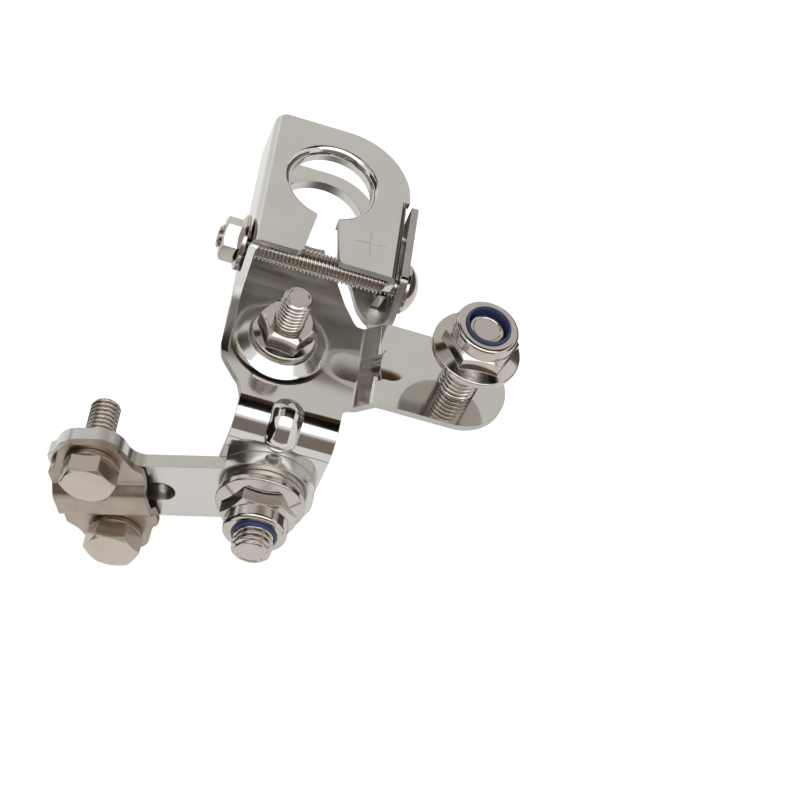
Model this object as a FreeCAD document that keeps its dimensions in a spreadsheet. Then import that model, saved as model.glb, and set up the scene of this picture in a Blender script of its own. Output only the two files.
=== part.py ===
# Battery terminal clamp with a power distribution arm, a link bar and a cable clamp.
# The frame is the battery post's: origin on the bore's axis, level with the top face of the
# lower plate, +Z up along the post, +X along the clamp bolt to its head, -Y to the studs.
# Sizes are in millimetres and degrees.
import FreeCAD, Part
import math
import os
from FreeCAD import Placement, Rotation, Vector

# Driving sizes: name, value, what it is
SIZES = [
    ("sheet", 1.5, "thickness of the stamped sheet"),
    ("bend", 1.2, "inside radius of the tight folds"),
    ("plate_height", 10.6, "top face of the upper plate above the lower plate's top face"),
    ("post_radius", 8.6, "bore radius at the upper plate's top face"),
    ("taper_run", 18.0, "length of post in which its radius grows by one"),
    ("entry_width", 1.15, "width of the bore's flared upper mouth"),
    ("entry_slope", 22.0, "slope of the flared mouth at its edge"),
    ("upper_collar", 3.3, "depth of the upper plate's drawn collar"),
    ("lower_collar", 2.4, "depth of the lower plate's drawn collar"),
    ("collar_wall", 1.1, "wall of the drawn collars"),
    ("left_face", 13.9, "outer face of the left wall from the post's axis, at its top"),
    ("wall_lean", 0.6, "outward set of the left wall's foot"),
    ("upper_front", 20.4, "front edge of the upper plate from the axis"),
    ("upper_rear", 15.0, "rear edge of the upper plate from the axis"),
    ("upper_corner", 14.8, "radius of the upper plate's rear right corner"),
    ("plate_corner", 1.0, "radius of the small corners of the plates"),
    ("lower_rear", 12.2, "rear edge of the lower plate from the axis"),
    ("lower_right", 13.1, "right edge of the lower plate behind its shoulder"),
    ("lower_corner", 12.4, "radius of the lower plate's rear right corner"),
    ("slot_left", 1.9, "slot edge left of the axis, at the bore"),
    ("slot_right", 2.7, "slot edge right of the axis, at the bore"),
    ("slot_flare", 1.5, "widening of each slot edge to the front"),
    ("slot_corner", 1.3, "rounding of the slot's front corners"),
    ("inner_face", 16.5, "outer face of the inner clamping flange"),
    ("flange_rear", 0.2, "rear end of both clamping flanges behind the axis"),
    ("flange_foot", 0.6, "foot of the inner flange above the lower plate"),
    ("flange_lean", 1.3, "inward set of the inner flange's foot"),
    ("tight_bend", 0.4, "inside radius of the clamping flange's and the wing's folds"),
    ("flange_gap", 0.7, "gap between the two clamping flanges"),
    ("ear_front", 24.8, "front edge of the lower ear"),
    ("ear_height", 9.8, "top edge of the outer clamping flange"),
    ("ear_bend", 2.4, "inside radius of the ear's fold"),
    ("ear_slant", 5.4, "set-back of the outer flange's front edge at its top"),
    ("ear_gap", 3.3, "width of the slot between the ear and the stud plate"),
    ("bolt_depth", 17.7, "clamp bolt's axis in front of the post's axis"),
    ("bolt_level", 5.0, "clamp bolt's axis above the lower plate"),
    ("bolt_size", 5.0, "thread of the clamp bolt"),
    ("bolt_tail", 0.8, "clamp bolt's thread past its nut"),
    ("dome_radius", 5.15, "radius of the clamp bolt's domed head"),
    ("dome_rim", 0.55, "thickness of the domed head's rim"),
    ("dome_height", 3.1, "height of the clamp bolt's domed head"),
    ("clamp_nut_flats", 8.0, "clamp nut across flats"),
    ("clamp_nut_flange", 5.75, "flange radius of the clamp nut"),
    ("clamp_nut_height", 4.7, "height of the clamp nut"),
    ("fold_line", 50.4, "front fold of the stud plate from the axis"),
    ("wing_knee", 29.0, "distance from the axis at which the wing is at its low height"),
    ("wing_height", 2.2, "height of the wing at its knee"),
    ("wing_end", 41.5, "front end of the wing from the axis"),
    ("wing_corner", 39.8, "start of the plate's slanted left front edge from the axis"),
    ("boss_left", 2.95, "small stud's axis left of the post's axis"),
    ("boss_front", 35.7, "small stud's axis in front of the post's axis"),
    ("boss_base", 9.4, "radius of the conical boss at its foot"),
    ("boss_top", 6.9, "radius of the conical boss at its top"),
    ("boss_rise", 2.0, "height of the conical boss"),
    ("small_thread", 6.0, "thread of the small stud and of the cable bolts"),
    ("small_stud_end", 14.8, "top of the small stud above the lower plate"),
    ("small_stud_head", 4.6, "radius of the small stud's low head"),
    ("small_nut_flats", 10.0, "small nut and cable bolt heads across flats"),
    ("small_nut_flange", 6.45, "flange radius of the small nut"),
    ("small_nut_height", 5.5, "height of the small nut"),
    ("small_nut_turn", -5.0, "angle of the small nut's corners as it was left"),
    ("arm_level", 3.6, "top face of the arm above the lower plate"),
    ("arm_reach", 32.9, "arm stud's axis right of the post's axis"),
    ("arm_front", 36.6, "arm stud's axis in front of the post's axis"),
    ("arm_half", 10.1, "half the arm's width and its end radius"),
    ("step_start", 13.6, "foot of the step up to the arm"),
    ("step_run", 3.7, "run of the step between its two folds"),
    ("step_bend", 1.0, "inside radius of the step's lower fold"),
    ("step_crest", 1.6, "inside radius of the step's upper fold"),
    ("big_thread", 8.0, "thread of the arm stud and the front stud"),
    ("arm_stud_end", 18.6, "arm stud's length above the arm"),
    ("arm_nut_lift", 11.05, "arm nut's seat above the arm, as it was wound on"),
    ("arm_nut_turn", 5.0, "angle of the arm nut's corners as it was left"),
    ("big_stud_head", 6.6, "radius of the low heads of the two large studs"),
    ("stud_head", 1.7, "thickness of the studs' low heads"),
    ("big_nut_flats", 13.0, "large nuts across flats"),
    ("big_nut_flange", 8.9, "flange radius of the large nuts"),
    ("big_nut_hex", 5.7, "top of the large nuts' hexagon above their seat"),
    ("big_nut_collar", 8.45, "top of the large nuts' collar above their seat"),
    ("collar_radius", 6.35, "radius of the large nuts' collar"),
    ("ring_radius", 4.5, "visible radius of the nylon rings"),
    ("ring_rise", 0.6, "rise of the nylon rings above the collar"),
    ("tab_face", 56.9, "front face of the tab from the axis"),
    ("tab_half", 10.15, "half the tab's width and its end radius"),
    ("tab_shift", 1.5, "front stud's axis right of the post's axis"),
    ("front_drop", 17.5, "front stud's axis below the lower plate"),
    ("front_stud_end", 17.2, "front stud's length past the tab"),
    ("front_nut_turn", 6.0, "angle of the front nut's corners as it was left"),
    ("rib_half", 3.2, "half the width of the tab's stiffening rib"),
    ("rib_rise", 1.7, "height of the tab's stiffening rib"),
    ("rib_start", 49.2, "end of the tab's rib on the plate, from the axis"),
    ("rib_end", 6.4, "end of the tab's rib below the lower plate"),
    ("bead_half", 3.4, "half the width of the bead across the arm's step"),
    ("bead_rise", 0.6, "height of the bead"),
    ("fold_overlap", 0.12, "overlap of the bead's lengths at the step's upper fold"),
    ("bead_start", 10.9, "left end's middle of the bead, from the axis"),
    ("bead_end", 18.9, "right end's middle of the bead, from the axis"),
    ("bead_front", 37.0, "bead's middle line in front of the axis"),
    ("bar_thick", 3.0, "thickness of the link bar"),
    ("bar_half", 8.15, "half the link bar's width"),
    ("eye_radius", 10.2, "radius of the link bar's eye"),
    ("bar_reach", 31.8, "cable bolts' line from the front stud"),
    ("bar_angle", 23.2, "droop of the link bar below level"),
    ("pad_neck", 24.6, "start of the cable pad from the front stud"),
    ("pad_end", 41.4, "end of the cable pad from the front stud"),
    ("pad_top", 16.2, "height of the pad's lobes from the bar's middle line"),
    ("screw_offset", 11.05, "cable bolts' distance from the bar's middle line"),
    ("cable_radius", 3.6, "radius of the cable channel"),
    ("channel_sink", 1.5, "depth of the channel in the link bar"),
    ("channel_end", 17.6, "closed end of the channel from the front stud"),
    ("cover_thick", 1.5, "thickness of the cable cover plate"),
    ("cover_gap", 0.6, "gap between the pad and the cover plate with no cable in it"),
    ("cover_hump", 2.2, "rise of the cover plate over the cable"),
    ("hump_foot", 4.6, "half the hump's width at its foot"),
    ("hump_bend", 1.0, "inside radius of the hump's folds"),
    ("cover_start", 22.2, "inner edge of the cover plate from the front stud"),
    ("cover_end", 41.4, "outer edge of the cover plate from the front stud"),
    ("cover_top", 17.4, "height of the cover plate's lobes from the bar's middle line"),
    ("cover_lobe", 5.2, "radius of the cover plate's lobes"),
    ("cable_bolt_length", 16.0, "length of the cable bolts under their heads"),
    ("cable_bolt_head", 4.0, "height of the cable bolts' heads"),
    ("washer_small", 1.2, "thickness of the washers under the cable bolts"),
    ("washer_small_rim", 5.5, "radius of the washers under the cable bolts"),
    ("washer_big", 1.3, "thickness of the washer on the front stud"),
    ("washer_big_rim", 8.4, "radius of the washer on the front stud"),
    ("plus_right", 9.9, "polarity sign's middle right of the axis"),
    ("plus_front", 13.3, "polarity sign's middle in front of the axis"),
    ("plus_length", 6.0, "length of the polarity sign's strokes"),
    ("plus_width", 0.35, "width of the strokes"),
    ("plus_depth", 0.1, "depth of the strokes"),
    ("fit", 0.05, "running clearance of threads and round fits"),
    ("hole_play", 0.3, "radial play of clearance holes"),
    ("seat", 0.04, "clearance between seated faces that move apart"),
]

doc = FreeCAD.newDocument("battery_terminal_clamp")
book = doc.addObject("Spreadsheet::Sheet", "Sizes")
for row, (alias, value, note) in enumerate(SIZES, start=1):
    book.set("A%d" % row, alias)
    book.set("B%d" % row, str(value))
    book.setAlias("B%d" % row, alias)
    book.set("C%d" % row, note)
doc.recompute()


class Sheet:
    """The sheet's values, read back from its cells."""


s = Sheet()
for alias, value, note in SIZES:
    setattr(s, alias, float(book.get(alias)))


# Outlines: closed chains of lines and tangent arcs
def unit(a, b):
    length = math.hypot(b[0] - a[0], b[1] - a[1])
    return ((b[0] - a[0]) / length, (b[1] - a[1]) / length)


def rounded(corners):
    """Closed outline through corners (x, y, radius)."""
    count = len(corners)
    arcs = []
    for i in range(count):
        x, y, radius = corners[i]
        before = unit(corners[i - 1], corners[i])
        after = unit(corners[i], corners[(i + 1) % count])
        turn = math.atan2(before[0] * after[1] - before[1] * after[0],
                          before[0] * after[0] + before[1] * after[1])
        if radius <= 0 or abs(turn) < 1e-4:
            arcs.append(((x, y), None, (x, y)))
            continue
        reach = radius * math.tan(abs(turn) / 2)
        start = (x - before[0] * reach, y - before[1] * reach)
        end = (x + after[0] * reach, y + after[1] * reach)
        side = 1 if turn > 0 else -1
        centre = (start[0] - side * before[1] * radius, start[1] + side * before[0] * radius)
        away = unit(centre, (x, y))
        middle = (centre[0] + away[0] * radius, centre[1] + away[1] * radius)
        arcs.append((start, middle, end))
    pieces = []
    for i in range(count):
        start, middle, end = arcs[i]
        if middle:
            pieces.append(Part.Arc(Vector(*start, 0), Vector(*middle, 0), Vector(*end, 0)))
        after = arcs[(i + 1) % count][0]
        if math.hypot(after[0] - end[0], after[1] - end[1]) > 1e-6:
            pieces.append(Part.LineSegment(Vector(*end, 0), Vector(*after, 0)))
    return pieces


def folded(path, thick):
    """Closed outline of a sheet folded along its middle line (x, y, inside radius)."""
    half = thick / 2
    left, right = [], []
    last = len(path) - 1
    for i, (x, y, inside) in enumerate(path):
        before = unit(path[max(i - 1, 0)], path[max(i, 1)])
        after = unit(path[min(i, last - 1)], path[min(i + 1, last)])
        turn = math.atan2(before[0] * after[1] - before[1] * after[0],
                          before[0] * after[0] + before[1] * after[1])
        normal = (-(before[1] + after[1]), before[0] + after[0])
        size = math.hypot(*normal)
        reach = half / math.cos(turn / 2)
        dx, dy = normal[0] / size * reach, normal[1] / size * reach
        inner, outer = inside, inside + thick
        if abs(turn) < 1e-4:
            inner = outer = 0
        left.append((x + dx, y + dy, inner if turn > 0 else outer))
        right.append((x - dx, y - dy, outer if turn > 0 else inner))
    return rounded(left + right[::-1])


def circle(x, y, radius):
    return [Part.Circle(Vector(x, y, 0), Vector(0, 0, 1), radius)]


def hexagon(flats, turn):
    corner = flats / math.sqrt(3)
    points = []
    for k in range(6):
        angle = math.radians(turn + 60 * k)
        points.append((corner * math.cos(angle), corner * math.sin(angle), 0))
    return rounded(points)


# Features
def new_body(name):
    return doc.addObject("PartDesign::Body", name)


def plane_of(body, role):
    for feature in body.Origin.OriginFeatures:
        if feature.Role == role:
            return feature


def draw(body, name, role, offset, pieces):
    sketch = body.newObject("Sketcher::SketchObject", name)
    sketch.AttachmentSupport = [(plane_of(body, role), "")]
    sketch.MapMode = "FlatFace"
    sketch.AttachmentOffset = Placement(Vector(0, 0, offset), Rotation())
    sketch.addGeometry(pieces, False)
    return sketch


def offset_by(sketch, expression):
    sketch.setExpression("AttachmentOffset.Base.z", expression)


def pad(body, name, sketch, length):
    feature = body.newObject("PartDesign::Pad", name)
    feature.Profile = sketch
    if isinstance(length, str):
        feature.setExpression("Length", length)
    else:
        feature.Length = length
    sketch.Visibility = False
    doc.recompute()
    return feature


def pocket(body, name, sketch):
    """Cuts the sketch through everything on both sides of its plane."""
    before = body.Shape.Volume
    feature = body.newObject("PartDesign::Pocket", name)
    feature.Profile = sketch
    feature.Type = 1
    feature.Midplane = True
    sketch.Visibility = False
    doc.recompute()
    if body.Shape.Volume >= before - 1e-6:
        raise RuntimeError(name + " cuts nothing")
    return feature


def turn(body, name, kind, sketch, axis):
    feature = body.newObject("PartDesign::" + kind, name)
    feature.Profile = sketch
    feature.ReferenceAxis = (sketch, [axis])
    feature.Angle = 360
    sketch.Visibility = False
    doc.recompute()
    return feature


def revolve(body, name, sketch):
    return turn(body, name, "Revolution", sketch, "V_Axis")


def groove(body, name, sketch):
    before = body.Shape.Volume
    feature = turn(body, name, "Groove", sketch, "V_Axis")
    if body.Shape.Volume >= before - 1e-6:
        raise RuntimeError(name + " cuts nothing")
    return feature


def at_sheet(obj, x=None, y=None, z=None):
    for axis, expression in (("x", x), ("y", y), ("z", z)):
        if expression is not None:
            obj.setExpression("Placement.Base." + axis, expression)


# Folded body: levels and edges that several of its walls share
half_sheet = s.sheet / 2
fold_out = s.bend + s.sheet
upper_middle = s.plate_height - half_sheet
wall_middle = -s.left_face + half_sheet
left_flat = -s.left_face + fold_out
upper_flat = s.inner_face - s.tight_bend - s.sheet
outer_face = s.inner_face + s.flange_gap + s.sheet
ear_flat = outer_face - s.ear_bend - s.sheet
arm_rear = s.arm_half - s.arm_front
arm_edge = -s.arm_half - s.arm_front
lap = 1.0


def post_at(level):
    """Bore radius at a level above the lower plate."""
    return s.post_radius + (s.plate_height - level) / s.taper_run


def collar(level, depth, flare):
    """Section of a collar with a straight bore, drawn down from a plate's top face at the level."""
    foot = level - depth
    start = math.radians(90 - s.entry_slope)
    round_off = flare / (1 - math.cos(start))
    sink = round_off * math.sin(start)
    bore = post_at((foot + level - sink) / 2)
    wall, outer = bore + s.collar_wall, bore + s.collar_wall + s.bend + 0.15
    under = min(s.bend, depth - s.sheet) * 0.8
    corners = [(bore, foot, 0), (wall, foot, 0), (wall, level - s.sheet, under),
               (outer, level - s.sheet, 0), (outer, level, 0), (bore + flare, level, 0)]
    if not flare:
        return rounded(corners)
    middle = start / 2
    mouth = Part.Arc(Vector(bore + flare, level, 0),
                     Vector(bore + round_off * (1 - math.cos(middle)),
                            level - sink + round_off * math.sin(middle), 0),
                     Vector(bore, level - sink, 0))
    return rounded([(bore, level - sink, 0)] + corners)[:-1] + [mouth]


# Upper plate with its collar and its slot
upper_plate = new_body("upper_plate")
outline = [(left_flat, -s.upper_front, 0), (upper_flat, -s.upper_front, 0),
           (upper_flat, s.flange_rear, 0), (s.inner_face, s.flange_rear, 0),
           (s.inner_face, s.upper_rear, s.upper_corner), (left_flat, s.upper_rear, 0)]
sketch = draw(upper_plate, "upper_outline", "XY_Plane", 0, rounded(outline))
offset_by(sketch, "Sizes.plate_height - Sizes.sheet")
pad(upper_plate, "upper_sheet", sketch, "Sizes.sheet")
sketch = draw(upper_plate, "upper_hole", "XY_Plane", 0,
              circle(0, 0, post_at(s.plate_height) + s.collar_wall + s.bend))
offset_by(sketch, "Sizes.plate_height")
pocket(upper_plate, "upper_opening", sketch)
sketch = draw(upper_plate, "upper_collar_section", "XZ_Plane", 0,
              collar(s.plate_height, s.upper_collar, s.entry_width))
revolve(upper_plate, "upper_drawn_collar", sketch)
beyond = s.upper_front + 4
slot = [(-s.slot_left, 0, 0), (-s.slot_left, -s.post_radius - 1.5, 0),
        (-s.slot_left - s.slot_flare, -s.upper_front, s.slot_corner),
        (-s.slot_left - s.slot_flare - 3, -s.upper_front, 0),
        (-s.slot_left - s.slot_flare - 3, -beyond, 0),
        (s.slot_right + s.slot_flare + 3, -beyond, 0),
        (s.slot_right + s.slot_flare + 3, -s.upper_front, 0),
        (s.slot_right + s.slot_flare, -s.upper_front, s.slot_corner),
        (s.slot_right, -s.post_radius - 1.5, 0), (s.slot_right, 0, 0)]
sketch = draw(upper_plate, "upper_slot_outline", "XY_Plane", 0, rounded(slot))
offset_by(sketch, "Sizes.plate_height")
pocket(upper_plate, "upper_slot", sketch)

# Inner clamping flange, folded down from the upper plate
inner_flange = new_body("inner_flange")
path = [(upper_flat - lap, upper_middle, 0), (s.inner_face - half_sheet, upper_middle, s.tight_bend),
        (s.inner_face - half_sheet - s.flange_lean, s.flange_foot, 0)]
sketch = draw(inner_flange, "inner_section", "XZ_Plane", 0, folded(path, s.sheet))
offset_by(sketch, "-Sizes.flange_rear")
pad(inner_flange, "inner_sheet", sketch, "Sizes.upper_front + Sizes.flange_rear")

# Left wall, folded from the upper plate down to the lower one, with its low front wing
left_wall = new_body("left_wall")
path = [(left_flat + lap, upper_middle, 0), (wall_middle, upper_middle, s.bend),
        (wall_middle - s.wall_lean, -half_sheet, s.tight_bend), (left_flat + lap, -half_sheet, 0)]
sketch = draw(left_wall, "wall_section", "XZ_Plane", 0, folded(path, s.sheet))
offset_by(sketch, "-Sizes.upper_rear")
pad(left_wall, "wall_sheet", sketch, "Sizes.upper_rear + Sizes.fold_line")
above, below = s.plate_height + 2, -s.sheet - 2
front = [(-s.upper_front, above, 0), (-s.upper_front, s.plate_height - s.bend, 1.5),
         (-s.wing_knee, s.wing_height, 7), (-s.wing_end, 0, 0), (-s.fold_line - 2, 0, 0),
         (-s.fold_line - 2, above, 0)]
sketch = draw(left_wall, "wing_outline", "YZ_Plane", 0, rounded(front))
pocket(left_wall, "wing_cut", sketch)
rear = [(s.upper_rear + 2, above, 0), (s.upper_rear, above, 0), (s.upper_rear, s.plate_height, 0),
        (s.lower_rear, 0, 0), (s.lower_rear, below, 0), (s.upper_rear + 2, below, 0)]
sketch = draw(left_wall, "rear_outline", "YZ_Plane", 0, rounded(rear))
pocket(left_wall, "rear_cut", sketch)
tab_left, tab_right = s.tab_shift - s.tab_half, s.tab_shift + s.tab_half
wall_foot = s.left_face + s.wall_lean
edge = [(-wall_foot, -s.wing_corner, 0), (-wall_foot + 0.6, -s.wing_corner - 2.3, 2),
        (tab_left - 0.9, -s.fold_line + 2.8, 3), (tab_left, -s.fold_line, 0)]
outside = edge + [(tab_left, -s.fold_line - 3, 0), (-wall_foot - 3, -s.fold_line - 3, 0),
                  (-wall_foot - 3, -s.wing_corner, 0)]
sketch = draw(left_wall, "left_edge_outline", "XY_Plane", 0, rounded(outside))
pocket(left_wall, "left_edge_cut", sketch)

# Lower plate with its collar, its ear and the slot that parts the ear from the stud plate
lower_plate = new_body("lower_plate")
outline = [(left_flat, s.lower_rear, 0), (left_flat, -s.wing_corner - 5.8, 0),
           (tab_left - 0.9, -s.fold_line + 2.8, 3), (tab_left, -s.fold_line, 0),
           (tab_right, -s.fold_line, 0), (tab_right, arm_edge, s.step_start - tab_right),
           (s.step_start, arm_edge, 0), (s.step_start, -s.ear_front, 0),
           (ear_flat, -s.ear_front, 0), (ear_flat, s.flange_rear, 0),
           (s.lower_right, s.flange_rear, 0), (s.lower_right, s.lower_rear, s.lower_corner)]
sketch = draw(lower_plate, "lower_outline", "XY_Plane", 0, rounded(outline))
offset_by(sketch, "-Sizes.sheet")
pad(lower_plate, "lower_sheet", sketch, "Sizes.sheet")
sketch = draw(lower_plate, "lower_hole", "XY_Plane", 0,
              circle(0, 0, post_at(0) + s.collar_wall + s.bend))
pocket(lower_plate, "lower_opening", sketch)
sketch = draw(lower_plate, "lower_collar_section", "XZ_Plane", 0,
              collar(0, s.lower_collar, 0))
revolve(lower_plate, "lower_drawn_collar", sketch)
gap_x, gap_y = s.ear_gap * 0.88, s.ear_gap * 0.47
near = [(s.slot_right - 1.2, -6.5), (s.slot_right, -10.0), (s.slot_right + 3.4, -16.4),
        (s.slot_right + 5.8, -21.7), (s.step_start - 1.8, arm_rear - 0.5)]
slot = [(near[0][0], near[0][1], 0), (near[1][0], near[1][1], 1.5), (near[2][0], near[2][1], 8),
        (near[3][0], near[3][1], 10), (near[4][0], near[4][1], 2.6),
        (s.step_start + 0.9, arm_rear, 0), (outer_face + 4, arm_rear, 0),
        (outer_face + 4, -s.ear_front, 0), (ear_flat + 0.7, -s.ear_front, 1.5),
        (near[3][0] + gap_x + 1.7, near[3][1] - 2.4, 3),
        (near[3][0] + gap_x - 0.4, near[3][1] + 0.4, 4),
        (near[2][0] + gap_x + 0.3, near[2][1] - 0.4, 6),
        (near[1][0] + gap_x, near[1][1] + gap_y, 0),
        (near[0][0] + gap_x + 0.6, near[0][1] + 0.9, 0)]
sketch = draw(lower_plate, "ear_slot_outline", "XY_Plane", 0, rounded(slot))
pocket(lower_plate, "ear_slot", sketch)

# Ear, folded up into the outer clamping flange
ear = new_body("ear")
path = [(ear_flat - lap, -half_sheet, 0), (outer_face - half_sheet, -half_sheet, s.ear_bend),
        (outer_face - half_sheet, s.ear_height, 0)]
sketch = draw(ear, "ear_section", "XZ_Plane", 0, folded(path, s.sheet))
offset_by(sketch, "-Sizes.flange_rear")
pad(ear, "ear_sheet", sketch, "Sizes.ear_front + Sizes.flange_rear")
front = [(-s.ear_front - 2, below, 0), (-s.ear_front, below, 0), (-s.ear_front, 0.5, 4),
         (-s.ear_front + s.ear_slant, s.ear_height, 1.5), (-s.flange_rear - 6, s.ear_height, 0),
         (-s.flange_rear - 6, s.ear_height + 2, 0), (-s.ear_front - 2, s.ear_height + 2, 0)]
sketch = draw(ear, "ear_front_outline", "YZ_Plane", 0, rounded(front))
pocket(ear, "ear_front_cut", sketch)

# Arm, stepped up from the lower plate
arm = new_body("arm")
arm_middle = s.arm_level - half_sheet
path = [(s.step_start - 3, -half_sheet, 0), (s.step_start, -half_sheet, s.step_bend),
        (s.step_start + s.step_run, arm_middle, s.step_crest),
        (s.arm_reach + s.arm_half + 1, arm_middle, 0)]
sketch = draw(arm, "arm_section", "XZ_Plane", 0, folded(path, s.sheet))
offset_by(sketch, "Sizes.arm_front - Sizes.arm_half")
pad(arm, "arm_sheet", sketch, "2 * Sizes.arm_half")
reach = s.arm_reach + s.arm_half + 3
end = [(s.arm_reach, arm_rear, 0), (s.arm_reach, arm_rear + 2, 0), (reach, arm_rear + 2, 0),
       (reach, arm_edge - 2, 0), (s.arm_reach, arm_edge - 2, 0), (s.arm_reach, arm_edge, 0),
       (s.arm_reach + s.arm_half, arm_edge, s.arm_half),
       (s.arm_reach + s.arm_half, arm_rear, s.arm_half)]
sketch = draw(arm, "arm_end_outline", "XY_Plane", 0, rounded(end))
pocket(arm, "arm_end_cut", sketch)

# Tab, folded down from the stud plate
tab = new_body("tab")
tab_middle = -s.tab_face + half_sheet
fold_radius = s.tab_face - s.fold_line
foot = -s.front_drop - s.tab_half
path = [(-s.fold_line + lap, -half_sheet, 0), (tab_middle, -half_sheet, fold_radius - s.sheet),
        (tab_middle, foot - 1, 0)]
sketch = draw(tab, "tab_section", "YZ_Plane", 0, folded(path, s.sheet))
offset_by(sketch, "Sizes.tab_shift - Sizes.tab_half")
pad(tab, "tab_sheet", sketch, "2 * Sizes.tab_half")
end = [(tab_left, -s.front_drop, 0), (tab_left - 2, -s.front_drop, 0), (tab_left - 2, foot - 3, 0),
       (tab_right + 2, foot - 3, 0), (tab_right + 2, -s.front_drop, 0),
       (tab_right, -s.front_drop, 0), (tab_right, foot, s.tab_half),
       (tab_left, foot, s.tab_half)]
sketch = draw(tab, "tab_end_outline", "XZ_Plane", 0, rounded(end))
pocket(tab, "tab_end_cut", sketch)

# Rib over the tab's fold: a low round back with two round ends
rib_x = s.tab_shift - 0.3
rib_first = (s.rib_start + s.rib_half - s.fold_line) / fold_radius
rib_last = math.acos(max(0.0, 1 - (s.rib_end - s.rib_half) / fold_radius))


def cap(name, half, rise, depth, place, tilt, around=360, first=0):
    """Top of a sphere that rises out of a face and is rooted in its sheet."""
    radius = (half ** 2 + rise ** 2) / (2 * rise)
    ball = doc.addObject("Part::Sphere", name)
    ball.Radius = radius
    ball.Angle1 = math.degrees(math.asin((radius - rise - depth) / radius))
    ball.Angle2 = 90
    ball.Angle3 = around
    lean = Rotation(Vector(1, 0, 0), tilt).multiply(Rotation(Vector(0, 0, 1), first))
    normal = lean.multVec(Vector(0, 0, 1))
    ball.Placement = Placement(place - normal * (radius - rise), lean)
    return ball


def back(body, name, role, half, rise, depth, level):
    """Section of a low round back, its face at the level."""
    radius = (half ** 2 + rise ** 2) / (2 * rise)
    low, middle = level - depth, level + rise - radius
    wide = math.sqrt(radius ** 2 - (low - middle) ** 2)
    return draw(body, name, role, 0, [
        Part.LineSegment(Vector(-wide, low, 0), Vector(wide, low, 0)),
        Part.Arc(Vector(wide, low, 0), Vector(0, level + rise, 0), Vector(-wide, low, 0))])


rib = new_body("rib")
sketch = back(rib, "rib_section", "XZ_Plane", s.rib_half, s.rib_rise, 1.0, fold_radius)
sweep = math.degrees(rib_last - rib_first)
feature = rib.newObject("PartDesign::Revolution", "rib_back")
feature.Profile = sketch
feature.ReferenceAxis = (sketch, ["H_Axis"])
feature.Angle = sweep
doc.recompute()
rib.Placement = Placement(Vector(rib_x, -s.fold_line, -fold_radius),
                          Rotation(Vector(1, 0, 0), math.degrees(rib_first)))
caps = []
for name, angle in (("rib_upper_end", rib_first), ("rib_lower_end", rib_last)):
    place = Vector(rib_x, -s.fold_line - fold_radius * math.sin(angle),
                   -fold_radius + fold_radius * math.cos(angle))
    caps.append(cap(name, s.rib_half, s.rib_rise, 1.2, place, math.degrees(angle)))

# Conical boss under the small stud, hollow beneath like the sheet it is drawn from
boss = new_body("boss")
foot = -s.sheet / 2
sketch = draw(boss, "boss_section", "XZ_Plane", 0,
              rounded([(0, foot, 0), (s.boss_base + 0.9, foot, 0), (s.boss_base + 0.9, 0, 0),
                       (s.boss_base, 0, 2.5), (s.boss_top, s.boss_rise, 0.4), (0, s.boss_rise, 0)]))
revolve(boss, "boss_drawn", sketch)
hollow = doc.addObject("Part::Cone", "boss_hollow")
hollow.setExpression("Radius1", "Sizes.boss_base - 0.6 * Sizes.sheet")
hollow.setExpression("Radius2", "Sizes.boss_top - 0.6 * Sizes.sheet")
hollow.setExpression("Height", "Sizes.boss_rise")
at_sheet(boss, "-Sizes.boss_left", "-Sizes.boss_front", "0")
at_sheet(hollow, "-Sizes.boss_left", "-Sizes.boss_front", "-Sizes.sheet")

# Stiffening bead across the step: a low round back that follows both folds, with round ends
def ridge(name, length, place, slope):
    body = new_body(name)
    sketch = back(body, name + "_section", "YZ_Plane", s.bead_half, s.bead_rise, 0.4, 0)
    pad(body, name + "_back", sketch, length)
    body.Placement = Placement(place, Rotation(Vector(0, 1, 0), -slope))
    return body


slope = math.degrees(math.atan2(s.arm_level, s.step_run))
crest = s.bead_rise * math.tan(math.radians(slope / 2))
crest_x = s.step_start + s.step_run - crest - s.fold_overlap
bead = [
    cap("bead_left_end", s.bead_half, s.bead_rise, 0.4, Vector(s.bead_start, -s.bead_front, 0), 0, 180, 90),
    ridge("bead_low", s.step_start - s.bead_start, Vector(s.bead_start, -s.bead_front, 0), 0),
    ridge("bead_slope", math.hypot(s.step_run, s.arm_level) + crest - s.fold_overlap / 2,
          Vector(s.step_start, -s.bead_front, 0), slope),
    ridge("bead_high", s.bead_end - crest_x, Vector(crest_x, -s.bead_front, s.arm_level), 0),
    cap("bead_right_end", s.bead_half, s.bead_rise, 0.4,
        Vector(s.bead_end, -s.bead_front, s.arm_level), 0, 180, -90)]

# Through ways of the bolt and the studs
hole = s.bolt_size / 2 + s.hole_play
tools = [hollow]


def way(name, radius, length, place, direction):
    tool = doc.addObject("Part::Cylinder", name)
    if isinstance(radius, str):
        tool.setExpression("Radius", radius)
    else:
        tool.Radius = radius
    tool.Height = length
    tool.Placement = Placement(place, Rotation(Vector(0, 0, 1), direction))
    tools.append(tool)
    return tool


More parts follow.
